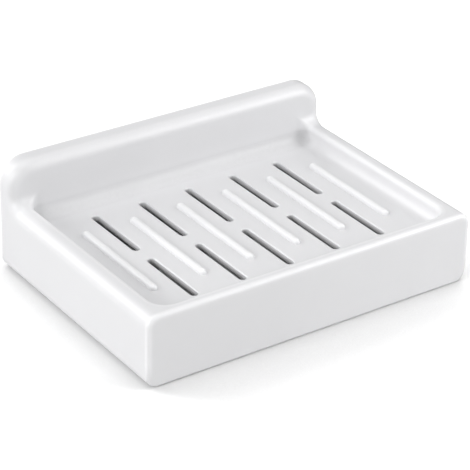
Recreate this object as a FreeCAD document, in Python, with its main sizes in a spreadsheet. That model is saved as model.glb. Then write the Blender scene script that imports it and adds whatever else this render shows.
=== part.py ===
"""Soap dish: a hollow moulded dish that slides down over a dovetail wall bracket.

The origin is at the centre of the footprint, on the surface that the dish stands on.
X runs across the dish, Y from its front edge towards the wall, Z up. Millimetres.
Every body is drawn with Y = 0 at the back face of the dish and is then moved as one.
"""
import FreeCAD
import Part
import Sketcher
import math
import os

# Driving sizes: millimetres, but for the counts of columns
SIZES = {
    # Outside of the dish
    "dish_width": 130.0,
    "shell_depth": 94.0,
    "rim_height": 26.3,
    "plate_rise": 15.3,
    "plate_thickness": 8.5,
    "plate_corner": 9.2,
    "cove_radius": 4.0,
    "roll_radius": 4.0,
    "base_round": 4.4,
    "front_round": 1.2,
    "back_round": 1.0,
    # Tray
    "floor_level": 19.8,
    "floor_thickness": 2.2,
    "side_rim": 6.8,
    "front_rim": 4.4,
    "front_corner": 6.2,
    "rear_corner": 4.3,
    "foot_fillet": 4.2,
    "lip_round": 1.5,
    # Drain slots and soap ribs
    "slot_columns": 5,
    "slot_width": 2.8,
    "slot_end_gap": 9.0,
    "slot_bridge": 6.7,
    "slot_chamfer": 0.3,
    "rib_columns": 6,
    "rib_width": 2.7,
    "rib_end_gap": 18.3,
    "rib_side_gap": 10.75,
    "rib_rise": 1.6,
    "rib_round": 1.3,
    # Hollow underside
    "wall": 2.5,
    "foot_land": 1.2,
    "hollow_corner": 2.0,
    "web_thickness": 1.6,
    "web_depth": 5.0,
    # Wall bracket and its seat in the back of the dish
    "bracket_width": 84.0,
    "bracket_height": 23.5,
    "bracket_foot": 12.4,
    "bracket_sheet": 2.0,
    "bracket_corner": 4.0,
    "bracket_edge": 0.5,
    "wedge_top_width": 40.0,
    "wedge_taper": 3.0,
    "wedge_undercut": 1.4,
    "wedge_rise": 2.7,
    "wedge_margin": 2.2,
    "rail_width": 7.0,
    "stop_height": 2.0,
    "seat_clearance": 0.25,
    "rail_clearance": 0.5,
    # Adhesive foam pads
    "pad_width": 26.0,
    "pad_height": 19.0,
    "pad_corner": 2.0,
    "pad_thickness": 1.2,
    "pad_proud": 0.4,
    "pad_spacing": 50.0,
    # Reach of a cut past the face that it opens
    "overrun": 1.0,
}

# Most of the plate's rise that its corner may take, and most of the rest for the cove
CORNER_SHARE = 0.7
COVE_SHARE = 0.95

SHEET = "dims"
TOLERANCE = 1e-4

# How a sketch constraint names the two axes, and the points of a piece of geometry
AXIS_X, AXIS_Y = range(-1, -3, -1)
START, END, CENTRE = range(1, 4)


class Size:
    """A length that carries its value and the sheet expression that drives it."""

    def __init__(self, text, value):
        self.text = text
        self.value = value

    def joined(self, other, sign, value):
        right = other.text if isinstance(other, Size) else repr(other)
        return Size("(%s %s %s)" % (self.text, sign, right), value)

    def __add__(self, other):
        return self.joined(other, "+", self.value + number(other))

    def __sub__(self, other):
        return self.joined(other, "-", self.value - number(other))

    def __mul__(self, other):
        return self.joined(other, "*", self.value * number(other))

    def __truediv__(self, other):
        return self.joined(other, "/", self.value / number(other))

    def __neg__(self):
        return Size("(0 - %s)" % self.text, -self.value)


def number(length):
    return length.value if isinstance(length, Size) else length


def size(name):
    return Size("%s.%s" % (SHEET, name), float(SIZES[name]))


def smaller(one, other):
    return Size("min(%s; %s)" % (one.text, other.text), min(one.value, other.value))


# Sizes worked out from the driving ones

def half_width():
    return size("dish_width") / 2


def plate_height():
    return size("rim_height") + size("plate_rise")


def plate_corner():
    return smaller(size("plate_corner"), size("plate_rise") * CORNER_SHARE)


def cove_radius():
    return smaller(size("cove_radius"), (size("plate_rise") - plate_corner()) * COVE_SHARE)


def inside_half_width():
    """Half the clear width between the side walls, which stand on a flat land."""
    return half_width() - size("base_round") - size("foot_land")


def ceiling():
    """Height of the hollow under the tray floor."""
    return size("floor_level") - size("floor_thickness")


def tray_half_width():
    return half_width() - size("side_rim")


def tray_length():
    return size("shell_depth") - size("front_rim") - size("plate_thickness")


def pattern_y():
    """Middle of the tray, on which slots, ribs and the cross web are centred."""
    return -size("plate_thickness") - tray_length() / 2


def slot_length():
    return (tray_length() - size("slot_bridge")) / 2 - size("slot_end_gap")


def rib_length():
    return tray_length() - size("rib_end_gap") * 2


def pitch():
    """From one rib to the next, and from one slot to the next."""
    return (tray_half_width() - size("rib_side_gap")) * 2 / (SIZES["rib_columns"] - 1)


def recess_depth():
    return size("plate_thickness") - size("wall")


def pad_seat():
    """How far the back of the bracket lies inside the back face of the dish."""
    return size("pad_thickness") - size("pad_proud")


def sheet_front():
    return pad_seat() + size("bracket_sheet")


def wedge_front():
    return sheet_front() + size("wedge_rise")


def wedge_foot():
    return size("bracket_foot") + size("wedge_margin")


def wedge_head():
    return size("bracket_foot") + size("bracket_height") - size("wedge_margin")


def columns(count):
    """Places across the dish of a centred row, one pitch apart."""
    return [pitch() * (i - (count - 1) / 2) for i in range(count)]


# Document, sketches and features

def make_sheet(doc):
    """One row for each driving size: its name, and its value under that alias."""
    sheet = doc.addObject("Spreadsheet::Sheet", SHEET)
    for row, (name, value) in enumerate(SIZES.items(), start=1):
        sheet.set("A%d" % row, name)
        sheet.set("B%d" % row, str(value))
        sheet.setAlias("B%d" % row, name)
    doc.recompute()


def bind(item, prop, length):
    item.setExpression(prop, length.text)


def new_body(doc, name):
    """A body that is drawn from the back face of the dish and placed about its footprint."""
    body = doc.addObject("PartDesign::Body", name)
    body.Label = name
    bind(body, "Placement.Base.y", (size("shell_depth") - size("pad_proud")) / 2)
    return body


def new_sketch(body, name, plane, offset=None):
    """A sketch on an origin plane of its body. An offset goes up, or from back to front."""
    sketch = body.newObject("Sketcher::SketchObject", name)
    planes = {feature.Role: feature for feature in body.Origin.OriginFeatures}
    sketch.AttachmentSupport = [(planes[plane], "")]
    sketch.MapMode = "FlatFace"
    if offset is not None:
        bind(sketch, "AttachmentOffset.Base.z", offset)
    return sketch


def drive(sketch, constraint, length):
    index = sketch.addConstraint(constraint)
    bind(sketch, "Constraints[%d]" % index, length)


def place_point(sketch, item, point, x, y):
    """Hold a point at x, y from the origin; a length of zero puts it on the axis."""
    for kind, axis, length in (("DistanceX", AXIS_Y, x), ("DistanceY", AXIS_X, y)):
        if number(length):
            held = Sketcher.Constraint(kind, AXIS_X, START, item, point, length.value)
            drive(sketch, held, length)
        else:
            sketch.addConstraint(Sketcher.Constraint("PointOnObject", item, point, axis))


def join(sketch, kind, first, count):
    """Join each of count pieces of geometry to the next one, and the last to the first."""
    for i in range(count):
        after = first + (i + 1) % count
        sketch.addConstraint(Sketcher.Constraint(kind, first + i, END, after, START))


def draw_polygon(sketch, points):
    first = sketch.GeometryCount
    flat = [FreeCAD.Vector(number(x), number(y), 0) for x, y in points]
    for tail, head in zip(flat, flat[1:] + flat[:1]):
        sketch.addGeometry(Part.LineSegment(tail, head), False)
    join(sketch, "Coincident", first, len(points))
    for i, (x, y) in enumerate(points):
        place_point(sketch, first + i, START, x, y)


def add_arc(sketch, centre, radius, begin, sweep):
    circle = Part.Circle(centre, FreeCAD.Vector(0, 0, 1), radius.value)
    sketch.addGeometry(Part.ArcOfCircle(circle, begin, begin + sweep), False)


def draw_round_box(sketch, left, right, low, high, radii):
    """A rectangle with radii for its low left, low right, high right and high left corner."""
    corners = ((left, low, 1, 1), (right, low, -1, 1), (right, high, -1, -1), (left, high, 1, -1))
    centres = [(x + radius * side_x, y + radius * side_y)
               for (x, y, side_x, side_y), radius in zip(corners, radii)]
    flat = [FreeCAD.Vector(x.value, y.value, 0) for x, y in centres]
    first = sketch.GeometryCount
    quarter = math.pi / 2
    for i, radius in enumerate(radii):
        following = (i + 1) % len(radii)
        begin = math.pi + i * quarter
        after = begin + quarter
        outward = FreeCAD.Vector(math.cos(after), math.sin(after), 0)
        add_arc(sketch, flat[i], radius, begin, quarter)
        tail = flat[i] + outward * radius.value
        head = flat[following] + outward * radii[following].value
        sketch.addGeometry(Part.LineSegment(tail, head), False)
    join(sketch, "Tangent", first, 2 * len(radii))
    for i, ((x, y), radius) in enumerate(zip(centres, radii)):
        arc = first + 2 * i
        drive(sketch, Sketcher.Constraint("Radius", arc, radius.value), radius)
        place_point(sketch, arc, CENTRE, x, y)


def draw_slot(sketch, x, y, width, length):
    """A slot with round ends, centred on x, y and running along the sketch's Y."""
    radius = width / 2
    reach = (length - width) / 2
    high = FreeCAD.Vector(x.value, (y + reach).value, 0)
    low = FreeCAD.Vector(x.value, (y - reach).value, 0)
    side = FreeCAD.Vector(radius.value, 0, 0)
    first = sketch.GeometryCount
    add_arc(sketch, high, radius, 0, math.pi)
    sketch.addGeometry(Part.LineSegment(high - side, low - side), False)
    add_arc(sketch, low, radius, math.pi, math.pi)
    sketch.addGeometry(Part.LineSegment(low + side, high + side), False)
    last = first + 2
    join(sketch, "Tangent", first, 4)
    sketch.addConstraint(Sketcher.Constraint("Equal", first, last))
    drive(sketch, Sketcher.Constraint("Radius", first, radius.value), radius)
    place_point(sketch, first, CENTRE, x, y + reach)
    place_point(sketch, last, CENTRE, x, y - reach)


def finish_feature(body, feature, before, adds):
    """Recompute, and stop if the feature didn't change the body's volume the right way."""
    body.Document.recompute()
    change = feature.Shape.Volume - before
    if (change > 0) != adds or abs(change) < TOLERANCE:
        raise RuntimeError("%s changed the volume by %.3f" % (feature.Name, change))


def extrude(body, kind, name, sketch, length, reverse=False):
    """A Pad or a Pocket of a sketch."""
    before = body.Shape.Volume if body.Tip else 0
    feature = body.newObject("PartDesign::" + kind, name)
    feature.Profile = sketch
    feature.Reversed = reverse
    feature.Refine = True
    bind(feature, "Length", length)
    finish_feature(body, feature, before, kind == "Pad")


def loft(body, kind, name, sketch, other):
    """A ruled loft between two sketches: an AdditiveLoft or a SubtractiveLoft."""
    before = body.Shape.Volume
    feature = body.newObject("PartDesign::" + kind, name)
    feature.Profile = sketch
    feature.Sections = [other]
    feature.Ruled = True
    feature.Refine = True
    finish_feature(body, feature, before, kind == "AdditiveLoft")


def dress_edges(body, kind, prop, name, length, chosen):
    """A Fillet or a Chamfer on the edges of the body whose bounding box passes the test."""
    tip = body.Tip
    boxes = [edge.BoundBox for edge in tip.Shape.Edges]
    names = ["Edge%d" % i for i, box in enumerate(boxes, start=1) if chosen(box)]
    feature = body.newObject("PartDesign::" + kind, name)
    feature.Base = (tip, names)
    bind(feature, prop, length)
    body.Document.recompute()


def round_edges(body, name, radius, chosen):
    dress_edges(body, "Fillet", "Radius", name, radius, chosen)


# Tests on the bounding box of an edge

def near(a, b):
    return abs(a - number(b)) < TOLERANCE


def at_level(box, level):
    return near(box.ZMin, level) and near(box.ZMax, level)


def at_depth(box, y):
    return near(box.YMin, y) and near(box.YMax, y)


def along_side(box, level):
    """A straight edge along Y on either side of the dish, at one height."""
    return at_level(box, level) and near(abs(box.XMin), half_width()) and near(box.XMin, box.XMax)


def inside_rim(box):
    """An edge that is clear of the rolled outer edge and of the front edge."""
    side = half_width().value - SIZES["roll_radius"] - TOLERANCE
    front = SIZES["front_round"] - SIZES["shell_depth"] + TOLERANCE
    return max(abs(box.XMin), abs(box.XMax)) < side and box.YMin > front


def over_slots(box):
    """An edge within the width of one of the columns of slots."""
    reach = SIZES["slot_width"] / 2 + TOLERANCE
    middles = [x.value for x in columns(SIZES["slot_columns"])]
    return any(x - reach < box.XMin and box.XMax < x + reach for x in middles)


# The dish

def add_outer_form(body):
    """Block and back plate, with the cove between them and the roll along their outer edge."""
    half = half_width()
    depth = size("shell_depth")
    thickness = size("plate_thickness")
    rim = size("rim_height")
    top = plate_height()
    for name, height, length in (("block", rim, depth), ("plate", top, thickness)):
        outline = new_sketch(body, name + "_outline", "XZ_Plane")
        draw_polygon(outline, [(-half, 0), (half, 0), (half, height), (-half, height)])
        extrude(body, "Pad", name, outline, length)
    round_edges(body, "plate_corners", plate_corner(), lambda box: along_side(box, top))
    round_edges(body, "base_sides", size("base_round"), lambda box: along_side(box, 0))
    round_edges(
        body, "cove", cove_radius(), lambda box: at_level(box, rim) and at_depth(box, -thickness))
    round_edges(
        body, "roll", size("roll_radius"), lambda box: at_level(box, top) and at_depth(box, -thickness))
    round_edges(body, "front_edge", size("front_round"), lambda box: at_depth(box, -depth))
    round_edges(body, "back_edge", size("back_round"), lambda box: at_depth(box, 0))


def add_tray(body):
    """The tray reaches back to the plate; its foot and its lip are rounded."""
    level = size("floor_level")
    rim = size("rim_height")
    half = tray_half_width()
    front = size("front_rim") - size("shell_depth")
    corners = (size("front_corner"), size("front_corner"), size("rear_corner"), size("rear_corner"))
    outline = new_sketch(body, "tray_outline", "XY_Plane", level)
    draw_round_box(outline, -half, half, front, -size("plate_thickness"), corners)
    depth = plate_height() + size("overrun") - level
    extrude(body, "Pocket", "tray", outline, depth, reverse=True)
    round_edges(body, "tray_foot", size("foot_fillet"), lambda box: at_level(box, level))
    round_edges(body, "tray_lip", size("lip_round"), lambda box: at_level(box, rim) and inside_rim(box))


def add_ribs(body):
    """Soap ribs on the tray floor, between and beside the columns of slots."""
    level = size("floor_level")
    crest = level + size("rib_rise")
    outline = new_sketch(body, "rib_outline", "XY_Plane", level)
    for x in columns(SIZES["rib_columns"]):
        draw_slot(outline, x, pattern_y(), size("rib_width"), rib_length())
    extrude(body, "Pad", "ribs", outline, size("rib_rise"))
    round_edges(body, "rib_crests", size("rib_round"), lambda box: at_level(box, crest))


def add_slots(body):
    """Two rows of drain slots through the tray floor."""
    level = size("floor_level")
    step = (slot_length() + size("slot_bridge")) / 2
    outline = new_sketch(body, "slot_outline", "XY_Plane", level)
    for x in columns(SIZES["slot_columns"]):
        for y in (pattern_y() - step, pattern_y() + step):
            draw_slot(outline, x, y, size("slot_width"), slot_length())
    extrude(body, "Pocket", "slots", outline, size("floor_thickness") + size("overrun"))
    dress_edges(
        body, "Chamfer", "Size", "slot_edges", size("slot_chamfer"),
        lambda box: at_level(box, level) and over_slots(box))


def add_hollow(body):
    """The underside is open up to the tray floor, which is stiffened by three webs."""
    inside = inside_half_width()
    front = size("front_round") + size("foot_land") - size("shell_depth")
    rear = -size("plate_thickness")
    hollow = new_sketch(body, "hollow_outline", "XY_Plane")
    draw_round_box(hollow, -inside, inside, front, rear, [size("hollow_corner")] * 4)
    extrude(body, "Pocket", "hollow", hollow, ceiling(), reverse=True)

    half_web = size("web_thickness") / 2
    along = pitch() * 1.5
    across = pattern_y()
    webs = (
        ("left_web", -along - half_web, -along + half_web, front, rear),
        ("right_web", along - half_web, along + half_web, front, rear),
        ("cross_web", -inside, inside, across - half_web, across + half_web),
    )
    for name, left, right, low, high in webs:
        outline = new_sketch(body, name + "_outline", "XY_Plane", ceiling())
        draw_polygon(outline, [(left, low), (right, low), (right, high), (left, high)])
        extrude(body, "Pad", name, outline, size("web_depth"), reverse=True)


def wedge_half_width(level, front):
    """Half the wedge's width at a height, and at a distance in front of the dish's back face."""
    fall = (wedge_head() - level) / (wedge_head() - wedge_foot())
    forward = (front - sheet_front()) / size("wedge_rise")
    return size("wedge_top_width") / 2 + size("wedge_taper") * fall + size("wedge_undercut") * forward


def draw_wedge(body, name, front, foot, head, clearance):
    """The wedge's outline parallel to the wall, narrow at its head, with a gap at both sides."""
    wide = wedge_half_width(foot, front) + clearance
    narrow = wedge_half_width(head, front) + clearance
    sketch = new_sketch(body, name, "XZ_Plane", front)
    draw_polygon(sketch, [(-wide, foot), (wide, foot), (narrow, head), (-narrow, head)])
    return sketch


def add_wall_seat(body):
    """The recess in the back of the plate, open below, and the seat that hangs on the wedge."""
    inside = inside_half_width()
    lip = size("overrun")
    corner = plate_corner() - size("wall")
    recess = new_sketch(body, "recess_outline", "XZ_Plane")
    draw_round_box(
        recess, -inside, inside, -lip * 2, plate_height() - size("wall"), (lip, lip, corner, corner))
    extrude(body, "Pocket", "recess", recess, recess_depth(), reverse=True)

    clearance = size("seat_clearance")
    foot = wedge_foot()
    stop = wedge_head() + clearance
    head = stop + size("stop_height")
    side = wedge_half_width(foot, wedge_front()) + clearance + size("rail_width")
    seat = new_sketch(body, "seat_outline", "XZ_Plane", recess_depth())
    draw_polygon(seat, [(-side, foot), (side, foot), (side, head), (-side, head)])
    depth = recess_depth() - sheet_front() - size("rail_clearance")
    extrude(body, "Pad", "seat", seat, depth, reverse=True)
    below = foot - size("overrun")
    opening = draw_wedge(body, "groove_opening", sheet_front(), below, stop, clearance)
    bottom = draw_wedge(body, "groove_bottom", recess_depth(), below, stop, clearance)
    loft(body, "SubtractiveLoft", "groove", opening, bottom)


def make_dish(doc):
    body = new_body(doc, "dish_shell")
    add_outer_form(body)
    add_tray(body)
    add_ribs(body)
    add_hollow(body)
    add_slots(body)
    add_wall_seat(body)
    return body


# The wall bracket and its pads

def make_bracket(doc):
    """A flat sheet with a dovetail wedge in front."""
    body = new_body(doc, "wall_bracket")
    half = size("bracket_width") / 2
    foot = size("bracket_foot")
    head = foot + size("bracket_height")
    front = sheet_front()
    outline = new_sketch(body, "sheet_outline", "XZ_Plane", pad_seat())
    draw_round_box(outline, -half, half, foot, head, [size("bracket_corner")] * 4)
    extrude(body, "Pad", "sheet", outline, size("bracket_sheet"))
    dress_edges(
        body, "Chamfer", "Size", "sheet_edges", size("bracket_edge"), lambda box: at_depth(box, -front))
    root = draw_wedge(body, "wedge_root", front, wedge_foot(), wedge_head(), 0)
    face = draw_wedge(body, "wedge_face", wedge_front(), wedge_foot(), wedge_head(), 0)
    loft(body, "AdditiveLoft", "wedge", root, face)
    return body


def make_pad(doc, name, side):
    """An adhesive foam pad behind the bracket; side is -1 for the left one, 1 for the right."""
    body = new_body(doc, name)
    middle = size("bracket_foot") + size("bracket_height") / 2
    centre = size("pad_spacing") * side / 2
    reach = size("pad_width") / 2
    rise = size("pad_height") / 2
    outline = new_sketch(body, name + "_outline", "XZ_Plane", -size("pad_proud"))
    draw_round_box(
        outline, centre - reach, centre + reach, middle - rise, middle + rise, [size("pad_corner")] * 4)
    extrude(body, "Pad", name + "_foam", outline, size("pad_thickness"))
    return body


def check(doc, bodies):
    """Stop before anything is written if an object failed or a shape isn't one sound solid."""
    for item in doc.Objects:
        if "Invalid" in item.State or "Error" in item.State:
            raise RuntimeError("%s failed: %s" % (item.Name, item.State))
    for body in bodies:
        shape = body.Shape
        if shape.isNull() or not shape.isValid() or len(shape.Solids) != 1:
            raise RuntimeError("%s is not one sound solid" % body.Label)


def main():
    doc = FreeCAD.newDocument("soap_dish")
    make_sheet(doc)
    bodies = [
        make_dish(doc),
        make_bracket(doc),
        make_pad(doc, "adhesive_pad_left", -1),
        make_pad(doc, "adhesive_pad_right", 1),
    ]
    doc.recompute()
    check(doc, bodies)
    os.makedirs("parts", exist_ok=True)
    for body in bodies:
        body.Shape.exportStep("parts/%s.step" % body.Label)
        print("%s %.1f mm3" % (body.Label, body.Shape.Volume))


main()
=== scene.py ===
import math

import bpy
from mathutils import Matrix, Vector

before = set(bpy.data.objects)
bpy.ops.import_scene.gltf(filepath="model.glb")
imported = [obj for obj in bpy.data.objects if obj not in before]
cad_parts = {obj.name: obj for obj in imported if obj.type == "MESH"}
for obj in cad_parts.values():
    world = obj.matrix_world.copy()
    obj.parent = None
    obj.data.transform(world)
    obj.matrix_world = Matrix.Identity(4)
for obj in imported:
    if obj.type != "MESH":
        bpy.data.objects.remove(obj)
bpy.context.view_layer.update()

MM = 0.001

# Places on the dish shell: distances from its middle, and heights above the foot
TRAY_HALF_WIDTH = 58 * MM
TRAY_HALF_DEPTH = 40 * MM
REAR_FOOT_START = 33 * MM
REAR_FOOT_TOP = 25.2 * MM
LIP_START = 21.1 * MM
FLOOR_TOP = 19.4 * MM
SLOT_MIDDLE = 18.6 * MM
FLOOR_UNDERSIDE = 17.55 * MM
FOOT_FADE = 6 * MM

# How strongly painted highlight and painted shade are laid on places, and how much duller the rear foot
# is
EDGE_HIGHLIGHT_PAINT = 3.2
FRONT_SLOT_PAINTED_SHADE = 0.5
REAR_SLOT_LESS_PAINTED_SHADE = 0.25
REAR_FOOT_PAINTED_SHADE = 1.6
REAR_FOOT_DULLNESS = 2.0

# The floor: how far it reaches, how far it lies below the foot, and the painted shadow that the camera
# sees
FLOOR_REACH = 4.0
FLOOR_DROP = 0.05 * MM
SHADOW_REACH = 120 * MM
SHADOW_LEAN = (0.2, 0.6, 0.77)
DEEPEST_SHADOW = 0.37

WORLD_STRENGTH = 0.17
LAMP_TARGET = Vector((0, 0, 0.02))

# Name, distance (m), azimuth from the wall's side and elevation (degrees), width, height (m), power (W)
LAMPS = (
    ("left_softbox", 1.6, -98, 23, 0.6, 0.6, 10.9),
    ("fill_softbox", 1.6, -140, 28, 0.8, 0.8, 3.3),
    ("low_front_softbox", 0.6, 130, 13, 0.2, 0.2, 0.76),
    ("high_front_softbox", 0.8, 135, 31, 0.25, 0.3, 1.9),
    ("rear_strip", 1.6, -39, 31, 0.5, 1.3, 11.0),
    ("rear_right_softbox", 1.6, 35, 29, 0.8, 0.8, 0.6),
    ("right_softbox", 1.6, 95, 50, 0.8, 0.8, 2.4),
    ("top_softbox", 1.6, 180, 85, 0.9, 0.9, 6.3),
)

# Azimuth from the front, elevation and roll in degrees; the rest in millimetres
CAMERA_ANGLES = (-35.394, 28.842, -1.466)
CAMERA_PLACE = (-359.124, -506.285, 356.640)
CAMERA_LENS = 158.486
CAMERA_SENSOR = 36.0


class Term:
    """A number that varies over a surface; Python operators on it add Math nodes."""

    def __init__(self, finish, socket):
        self.finish = finish
        self.socket = socket

    def math(self, operation, *values):
        inputs = dict(enumerate(values))
        node = self.finish.node("ShaderNodeMath", {"operation": operation}, inputs)
        return Term(self.finish, node.outputs[0])

    def __add__(self, other):
        return self.math("ADD", self, other)

    def __sub__(self, other):
        return self.math("SUBTRACT", self, other)

    def __mul__(self, other):
        return self.math("MULTIPLY", self, other)

    def __truediv__(self, other):
        return self.math("DIVIDE", self, other)

    def __rsub__(self, other):
        return self.math("SUBTRACT", other, self)

    __radd__ = __add__
    __rmul__ = __mul__

    def magnitude(self):
        return self.math("ABSOLUTE", self)

    def either(self, other):
        """The larger of two shares."""
        return self.math("MAXIMUM", self, other)

    def above(self, edge, softness):
        """0 below the edge, 1 above it, with a soft step between."""
        step = (self - edge) / softness + 0.5
        return self.math("MINIMUM", self.math("MAXIMUM", step, 0.0), 1.0)


class Finish:
    """One material: a shader and the nodes that feed it."""

    def __init__(self, name, shader="ShaderNodeBsdfPrincipled"):
        self.material = bpy.data.materials.new(name)
        self.material.use_nodes = True
        self.tree = self.material.node_tree
        self.tree.nodes.clear()
        self.output = self.node("ShaderNodeOutputMaterial")
        self.shader = self.node(shader)
        self.tree.links.new(self.shader.outputs[0], self.output.inputs["Surface"])
        self.place = self.node("ShaderNodeTexCoord").outputs["Object"]

    def node(self, kind, settings=None, values=None):
        """A node with its settings made first, then its sockets set or linked."""
        node = self.tree.nodes.new(kind)
        for name, setting in (settings or {}).items():
            setattr(node, name, setting)
        for key, value in (values or {}).items():
            self.feed(node.inputs[key], value)
        return node

    def feed(self, socket, value):
        if isinstance(value, Term):
            value = value.socket
        if isinstance(value, bpy.types.NodeSocket):
            self.tree.links.new(value, socket)
        else:
            socket.default_value = value

    def noise(self, grain, detail, roughness=0.5):
        """Noise with grains of a size in metres."""
        node = self.node(
            "ShaderNodeTexNoise", {"noise_dimensions": "3D"},
            {"Vector": self.place, "Scale": 1 / grain, "Detail": detail, "Roughness": roughness})
        return Term(self, node.outputs["Fac"])

    def cells(self, size):
        """The distance from the middle of round cells of a size in metres."""
        node = self.node(
            "ShaderNodeTexVoronoi", {"feature": "F1"}, {"Vector": self.place, "Scale": 1 / size})
        return Term(self, node.outputs["Distance"])

    def covered(self, reach, inside=False):
        """The share of directions in which the surface meets its own piece within the reach.
        It is 0 in the open. From the inside, a flat wall is 0 and an edge that turns outwards more."""
        cover = self.node(
            "ShaderNodeAmbientOcclusion", {"samples": 8, "inside": inside, "only_local": True},
            {"Distance": reach})
        return 1.0 - Term(self, cover.outputs["AO"])

    def place_along_axes(self):
        """The place on the piece as three numbers in metres."""
        parts = self.node("ShaderNodeSeparateXYZ", None, {0: self.place})
        return [Term(self, socket) for socket in parts.outputs]

    def blend(self, amount, low, high):
        """A colour between two others; 6, 7 and 2 are the Mix node's colour sockets."""
        node = self.node("ShaderNodeMix", {"data_type": "RGBA"}, {0: amount, 6: low, 7: high})
        return node.outputs[2]

    def bump(self, height, depth, under=None):
        """A relief of a depth in metres, on top of another relief where one is given."""
        values = {"Height": height, "Distance": depth, "Strength": 1.0}
        if under is not None:
            values["Normal"] = under
        return self.node("ShaderNodeBump", None, values).outputs["Normal"]

    def set(self, **values):
        """Sets or links the shader's sockets; an underscore stands for a space."""
        for name, value in values.items():
            self.feed(self.shader.inputs[name.replace("_", " ")], value)


def grey(level, blue=0.0):
    return (level, level, level + blue, 1.0)


def gloss_white_plastic():
    """Injection moulded ABS, smooth. Its thin outer edges get a painted highlight, a paler colour.
    The walls of the slots and the strip along the tray's rear wall get painted shade, a darker colour."""
    finish = Finish("gloss_white_plastic")
    wave = finish.noise(9 * MM, 1.0)
    grain = finish.noise(0.35 * MM, 1.0)
    cloud = finish.noise(22 * MM, 2.0)
    hollow = finish.covered(4.0 * MM)
    thin = finish.covered(2.0 * MM, inside=True)

    across, towards_wall, height = finish.place_along_axes()
    beside_tray = across.magnitude().above(TRAY_HALF_WIDTH, 1 * MM)
    beyond_tray = towards_wall.magnitude().above(TRAY_HALF_DEPTH, 1 * MM)
    in_tray = 1.0 - beside_tray.either(beyond_tray)
    above_floor = height.above(FLOOR_TOP, 0.4 * MM)

    below_lip = in_tray * (1.0 - height.above(LIP_START, 1.5 * MM))
    # Painted highlight: convex outer edges are paled in colour to stand for the light they catch
    painted_edge_highlight = thin * (height.above(FOOT_FADE, 6 * MM) * (1.0 - below_lip))

    above_underside = height.above(FLOOR_UNDERSIDE, 0.1 * MM)
    # Painted shade: the slot walls are darkened in colour, most at their bottom and less in the rear
    # row
    slot_wall = in_tray * above_underside * (hollow * 4.0).above(0.5, 1.0)
    slot_depth = slot_wall * (1.0 - height.above(SLOT_MIDDLE, 2.0 * MM))
    rear_row = towards_wall.above(0.0, 6 * MM)
    slot_painted_shade = slot_depth * (FRONT_SLOT_PAINTED_SHADE - rear_row * REAR_SLOT_LESS_PAINTED_SHADE)

    # Painted shade: the foot of the tray's rear wall is darkened in colour where a highlight would
    # fall, and made duller
    near_rear_wall = hollow * in_tray * towards_wall.above(REAR_FOOT_START, 4 * MM)
    rear_foot = near_rear_wall * (above_floor - height.above(REAR_FOOT_TOP, 1.5 * MM))

    body_white = finish.blend(cloud.above(0.5, 0.5), grey(0.735, 0.012), grey(0.755, 0.012))
    white_with_painted_highlight = finish.blend(painted_edge_highlight * EDGE_HIGHLIGHT_PAINT, body_white, grey(0.95, 0.01))
    painted_shade = slot_painted_shade + rear_foot * REAR_FOOT_PAINTED_SHADE
    dullness = 0.44 + rear_foot * REAR_FOOT_DULLNESS
    finish.set(
        Base_Color=finish.blend(painted_shade, white_with_painted_highlight, grey(0.05)),
        Roughness=dullness + (cloud - 0.5) * 0.05 + (grain - 0.5) * 0.04,
        IOR=1.5,
        Specular_IOR_Level=1.0,
        Normal=finish.bump(grain, 0.0012 * MM, finish.bump(wave, 0.012 * MM)))
    return finish.material


def matte_white_plastic():
    """The bracket's plastic, with the even grain of a spark-eroded mould."""
    finish = Finish("matte_white_plastic")
    grain = finish.noise(0.28 * MM, 3.0, 0.6)
    cloud = finish.noise(12 * MM, 2.0)
    finish.set(
        Base_Color=finish.blend(cloud, grey(0.74), grey(0.79)),
        Roughness=0.5 + (grain - 0.5) * 0.12,
        IOR=1.5,
        Normal=finish.bump(grain, 0.012 * MM))
    return finish.material


def pad_foam():
    """Closed-cell foam with a bright cut face and darker cell walls."""
    finish = Finish("pad_foam")
    cell = finish.cells(0.5 * MM)
    cloud = finish.noise(5 * MM, 2.0)
    finish.set(
        Base_Color=finish.blend(cell.above(0.45, 0.5) * 0.7 + cloud * 0.3, grey(0.66), grey(0.46)),
        Roughness=0.8 + (cloud - 0.5) * 0.1,
        Normal=finish.bump(cell, 0.05 * MM))
    return finish.material


def dress(node, material):
    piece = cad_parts[node]
    piece.data.materials.clear()
    piece.data.materials.append(material)


def pale_floor():
    """A diffuse floor. The camera sees it a step brighter: white in the open, with a grey painted
    shadow by the dish.
    """
    floor = Finish("pale_floor", "ShaderNodeBsdfDiffuse")
    camera_ray = floor.node("ShaderNodeLightPath").outputs["Is Camera Ray"]
    # The occlusion node heeds its Normal only when that is linked
    leaning = floor.node("ShaderNodeVectorMath", {"operation": "NORMALIZE"}, {0: SHADOW_LEAN})
    # Painted shadow: occlusion towards a leaning direction greys the floor by the dish, for camera rays
    # only
    painted_shadow_occlusion = floor.node(
        "ShaderNodeAmbientOcclusion", {"samples": 8},
        {"Distance": SHADOW_REACH, "Normal": leaning.outputs[0]})
    open_share = Term(floor, painted_shadow_occlusion.outputs["AO"]).either(DEEPEST_SHADOW)
    camera_colour_with_painted_shadow = floor.blend(open_share, grey(0.36), grey(1.32))
    floor.set(Color=floor.blend(camera_ray, grey(0.75), camera_colour_with_painted_shadow))
    return floor.material


def make_stage():
    corners = [(x * FLOOR_REACH, y * FLOOR_REACH, 0) for x, y in ((-1, -1), (1, -1), (1, 1), (-1, 1))]
    mesh = bpy.data.meshes.new("floor")
    mesh.from_pydata(corners, [], [(0, 1, 2, 3)])
    floor = bpy.data.objects.new("floor", mesh)
    floor.location.z = -FLOOR_DROP
    bpy.context.scene.collection.objects.link(floor)
    floor.data.materials.append(pale_floor())


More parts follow.
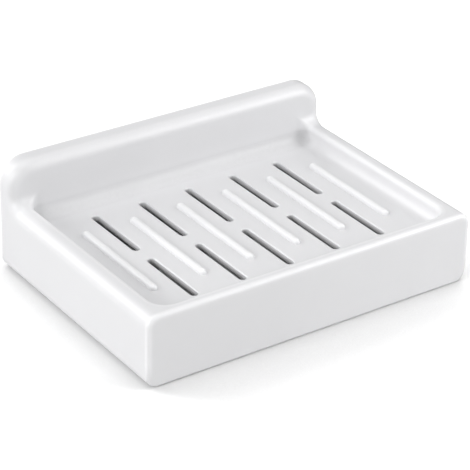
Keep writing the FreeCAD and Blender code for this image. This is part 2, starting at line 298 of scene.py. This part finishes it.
def make_world():
    world = bpy.data.worlds.new("studio")
    bpy.context.scene.world = world
    world.use_nodes = True
    back = world.node_tree.nodes["Background"]
    back.inputs["Color"].default_value = grey(1.0)
    back.inputs["Strength"].default_value = WORLD_STRENGTH


def softbox(name, distance, azimuth, elevation, width, height, power):
    """A soft lamp in a direction from the object, aimed at it."""
    data = bpy.data.lights.new(name, "AREA")
    data.shape = "RECTANGLE"
    data.size = width
    data.size_y = height
    data.energy = power
    lamp = bpy.data.objects.new(name, data)
    turn, rise = math.radians(azimuth), math.radians(elevation)
    level = math.cos(rise)
    towards = Vector((math.sin(turn) * level, math.cos(turn) * level, math.sin(rise)))
    lamp.location = LAMP_TARGET + towards * distance
    lamp.rotation_mode = "QUATERNION"
    lamp.rotation_quaternion = towards.to_track_quat("Z", "Y")
    bpy.context.scene.collection.objects.link(lamp)


def make_camera():
    """At the photograph's angle: left of the dish and above it, with a long lens."""
    azimuth, elevation, roll = (math.radians(angle) for angle in CAMERA_ANGLES)
    level = math.cos(elevation)
    back = Vector((math.sin(azimuth) * level, -math.cos(azimuth) * level, math.sin(elevation)))
    right = Vector((math.cos(azimuth), math.sin(azimuth), 0))
    up = back.cross(right)
    turned_right = right * math.cos(roll) - up * math.sin(roll)
    turned_up = up * math.cos(roll) + right * math.sin(roll)
    turn = Matrix((turned_right, turned_up, back)).transposed()
    data = bpy.data.cameras.new("camera")
    data.sensor_width = CAMERA_SENSOR
    data.lens = CAMERA_LENS
    data.clip_start, data.clip_end = 0.01, 20.0
    camera = bpy.data.objects.new("camera", data)
    camera.matrix_world = Matrix.Translation(Vector(CAMERA_PLACE) * MM) @ turn.to_4x4()
    bpy.context.scene.collection.objects.link(camera)
    bpy.context.scene.camera = camera


dress("dish_shell", gloss_white_plastic())
dress("wall_bracket", matte_white_plastic())
foam = pad_foam()
dress("adhesive_pad_left", foam)
dress("adhesive_pad_right", foam)

make_stage()
make_world()
for lamp in LAMPS:
    softbox(*lamp)
make_camera()

bpy.context.scene.view_settings.view_transform = "Standard"
